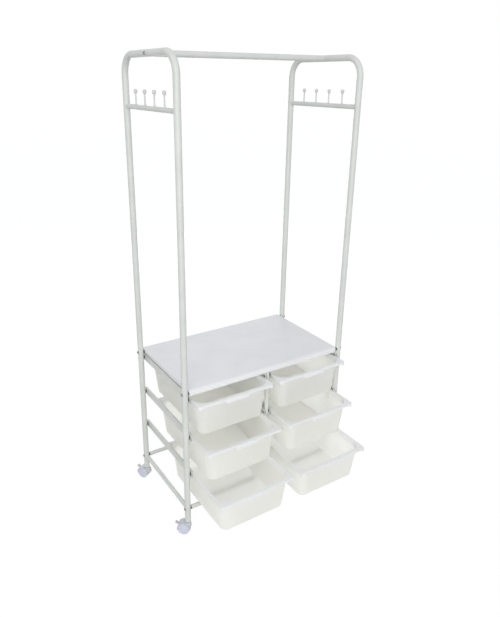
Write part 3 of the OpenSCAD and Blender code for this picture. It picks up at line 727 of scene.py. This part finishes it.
# %% [markdown]
# ## Welds
# The hook rails and the low side bars are welded to the uprights, and the paint covers the
# bead of weld metal. A torus round the bar's end is the right start. Its points then slide
# along the bar onto the round of the upright, and a ripple gives the small steps of the weld.

# %% Weld beads
BEAD_RADIUS = 0.0013
BEAD_OUT = 0.0002
RIPPLE_HEIGHT = 0.0002
RIPPLE_COUNT = 28


def weld_bead(middle, bar_radius, post_radius, side_y):
    """A bead where a bar along Y meets the upright whose axis goes through middle."""
    bpy.ops.mesh.primitive_torus_add(major_radius=bar_radius + BEAD_OUT,
                                     minor_radius=BEAD_RADIUS,
                                     major_segments=64, minor_segments=10,
                                     rotation=(math.pi / 2, 0, 0))
    bead = bpy.context.object
    bpy.ops.object.transform_apply(rotation=True)
    for point in bead.data.vertices:
        across = min(abs(point.co.x), post_radius)
        turn = math.atan2(point.co.z, point.co.x)
        ripple = RIPPLE_HEIGHT * math.sin(RIPPLE_COUNT * turn)
        point.co.y += ripple - side_y * math.sqrt(post_radius ** 2 - across ** 2)
    bead.data.transform(Matrix.Translation(middle))
    bpy.ops.object.shade_smooth()
    return bead


for kind, label in (("_hook_rail", "hook_rail_welds"), ("_side_bar", "side_bar_welds")):
    beads = []
    for side in SIDES:
        low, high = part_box(side + kind)
        for end, side_y in (("front", -1), ("rear", 1)):
            leg_low, leg_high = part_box(side + "_" + end + "_leg")
            middle = Vector(((leg_low.x + leg_high.x) / 2, (leg_low.y + leg_high.y) / 2,
                             (low.z + high.z) / 2))
            beads.append(weld_bead(middle, (high.z - low.z) / 2, (leg_high.y - leg_low.y) / 2,
                                   side_y))
    dress(joined(label, beads), POWDER_COAT, "frame_paint", "frame")

# %% [markdown]
# ## Bolts and screws
# The bolts have button heads with a hexagon socket for a key, and the small screws a cross. A
# boolean cuts them: a six-sided prism, or two crossing bars, is put into each head and taken
# away from the copy of the CAD part.

# %% Sockets and crosses in the heads
BOLT_HEAD = 0.0036  # height of a bolt's head
SCREW_HEAD = 0.0022  # height of a screw's head
RUNNER_SHEET = 0.0016
SHELF_BOLT_DOWN = 0.0085  # from the shelf's top down to its bolts
KEY_RADIUS = 0.0023
KEY_DEPTH = 0.0038
CROSS_WIDTH = 0.0009
CROSS_LENGTH = 0.0042
CROSS_DEPTH = 0.0026
OUTWARDS = {"left": -1, "right": 1}


def hexagon(place, axis):
    """A cutter for a 4 mm key, centred on a head's top."""
    turn = Vector(axis).to_track_quat("Z", "Y").to_euler()
    bpy.ops.mesh.primitive_cylinder_add(vertices=6, radius=KEY_RADIUS, depth=KEY_DEPTH,
                                        location=place, rotation=turn)
    return [bpy.context.object]


def cross(place, axis):
    """A cutter of two bars for a cross-point driver."""
    turn = Vector(axis).to_track_quat("Z", "Y").to_euler()
    bars = []
    for width, length in ((CROSS_WIDTH, CROSS_LENGTH), (CROSS_LENGTH, CROSS_WIDTH)):
        bpy.ops.mesh.primitive_cube_add(size=1, location=place, rotation=turn)
        bar = bpy.context.object
        bar.scale = (width, length, CROSS_DEPTH)
        bars.append(bar)
    return bars


def cut_heads(part, name, cutters):
    """A copy of the fasteners with the cutters taken away from their heads."""
    cutter = joined("cutter", cutters)
    fasteners = copy_of(part, name)
    hole = fasteners.modifiers.new("drive_holes", "BOOLEAN")
    hole.object = cutter
    hole.solver = "EXACT"
    hole.use_self = True
    apply_all(fasteners)
    bpy.data.objects.remove(cutter)
    bpy.ops.object.shade_smooth_by_angle(angle=SMOOTH_BELOW)
    dress(fasteners, ZINC, "zinc_steel", "frame", part)


legs = {(side, end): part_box(side + "_" + end + "_leg") for side in SIDES for end in ENDS}
low_bar_z = sum(v.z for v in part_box("left_side_bar")) / 2
shelf_bolt_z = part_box("shelf_top")[1].z - SHELF_BOLT_DOWN
cutters = []
for (side, end), (low, high) in legs.items():
    outer = low.x - BOLT_HEAD if side == "left" else high.x + BOLT_HEAD
    for z in (low_bar_z, shelf_bolt_z):
        cutters += hexagon((outer, (low.y + high.y) / 2, z), (OUTWARDS[side], 0, 0))
for bar in ("front_low_bar", "rear_low_bar"):
    low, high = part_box(bar)
    cutters += hexagon((0, (low.y + high.y) / 2, low.z - BOLT_HEAD), (0, 0, -1))
cut_heads("frame_bolts", "frame_bolts_socketed", cutters)

rail_z = sum(v.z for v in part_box("hanging_rail")) / 2
cutters = []
for side in SIDES:
    low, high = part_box(side + "_upper_hoop")
    outer = low.x - BOLT_HEAD if side == "left" else high.x + BOLT_HEAD
    cutters += hexagon((outer, 0, rail_z), (OUTWARDS[side], 0, 0))
cut_heads("rail_bolts", "rail_bolts_socketed", cutters)

cutters = []
for side in SIDES:
    for place in ("outer", "inner"):
        for row in ROWS:
            low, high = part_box(side + "_" + place + "_" + row + "_runner")
            faces_right = (side == "left") == (place == "outer")
            web = low.x + RUNNER_SHEET if faces_right else high.x - RUNNER_SHEET
            way = 1 if faces_right else -1
            for end in ENDS:
                leg_low, leg_high = legs[side, end]
                spot = (web + way * SCREW_HEAD, (leg_low.y + leg_high.y) / 2, (low.z + high.z) / 2)
                cutters += cross(spot, (way, 0, 0))
cut_heads("runner_screws", "runner_screws_crossed", cutters)

# %% [markdown]
# ## Floor and light
# The photograph has a white background and broad soft light from the front, so that the left
# sides are a little darker. A large softbox stands in front, a little to the left, and a weaker
# one behind on the right keeps the rear from going dark. With an even, slightly cool sky they
# light the object at a level at which a colour renders about as it is written. The floor is a
# pale board that shows white to the camera but keeps the object's shadow.

# %% Floor, sky and softboxes


def seen_directly(mat_or_world):
    """1 for rays that show the background: from the camera, in gloss and through glass."""
    tree = mat_or_world.node_tree
    path = tree.nodes.new("ShaderNodeLightPath")
    total = path.outputs["Is Camera Ray"]
    for name in ("Is Glossy Ray", "Is Transmission Ray"):
        larger = tree.nodes.new("ShaderNodeMath")
        larger.operation = "MAXIMUM"
        tree.links.new(total, larger.inputs[0])
        tree.links.new(path.outputs[name], larger.inputs[1])
        total = larger.outputs[0]
    return total


FLOOR_SHOWS = 0.72  # share of plain white in what the camera sees of the floor
FLOOR_GLOW = 1.25
FLOOR_WIDTH = 60


def white_floor():
    """A pale floor: mostly plain white to the camera, and partly lit, for the shadow."""
    bpy.ops.mesh.primitive_plane_add(size=FLOOR_WIDTH)
    floor = bpy.context.object
    floor.name = "floor"
    mat, shader, place = start_finish("matt_white_board", Roughness=0.9)
    board = between(mat, cloud(mat, place, mm=400), "#B6B6B6", "#B4B4B4")
    mat.node_tree.links.new(board, shader.inputs["Base Color"])
    glow = add(mat, "Emission", {"Color": (1, 1, 1, 1), "Strength": FLOOR_GLOW})
    share = add(mat, "Math", {0: seen_directly(mat), 1: FLOOR_SHOWS}, operation="MULTIPLY")
    mix = add(mat, "MixShader", {0: share.outputs[0], 1: shader.outputs[0], 2: glow.outputs[0]})
    mat.node_tree.links.new(mix.outputs[0], mat.node_tree.nodes["Material Output"].inputs[0])
    floor.data.materials.append(mat)
    floor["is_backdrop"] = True


SKY_LEVEL = 0.7


def even_sky():
    """An even pale sky that the camera sees as white."""
    world = bpy.data.worlds.new("studio")
    bpy.context.scene.world = world
    world.use_nodes = True
    tree = world.node_tree
    sky = tree.nodes["Background"]
    sky.inputs["Color"].default_value = paint("#F6F9FF")
    sky.inputs["Strength"].default_value = SKY_LEVEL
    white = tree.nodes.new("ShaderNodeBackground")
    white.inputs["Color"].default_value = (1, 1, 1, 1)
    white.inputs["Strength"].default_value = 1
    mix = tree.nodes.new("ShaderNodeMixShader")
    tree.links.new(seen_directly(world), mix.inputs[0])
    tree.links.new(sky.outputs[0], mix.inputs[1])
    tree.links.new(white.outputs[0], mix.inputs[2])
    tree.links.new(mix.outputs[0], tree.nodes["World Output"].inputs["Surface"])


def softbox(name, place, aim, size, watts):
    """A large square lamp that looks at a point of the object."""
    bpy.ops.object.light_add(type="AREA", location=place)
    lamp = bpy.context.object
    lamp.name = name
    lamp.data.shape = "SQUARE"
    lamp.data.size = size
    lamp.data.energy = watts
    lamp.rotation_euler = (Vector(aim) - Vector(place)).to_track_quat("-Z", "Y").to_euler()


white_floor()
even_sky()
softbox("front_left_softbox", place=(-2.1, -3.5, 2.0), aim=(0, 0, 0.5), size=3.8, watts=98)
softbox("rear_right_softbox", place=(1.6, 3.8, 1.2), aim=(0, 0, 0.6), size=2.2, watts=26)
bpy.context.scene.view_settings.view_transform = "Standard"

# %% [markdown]
# ## Sizes
# The last step measures all that is visible and prints the box that it fills. The dressed model
# should stay in the box of the CAD model.

# %% Print the box of what is visible
low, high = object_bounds()
print("visible from", [round(v, 4) for v in low], "to", [round(v, 4) for v in high])
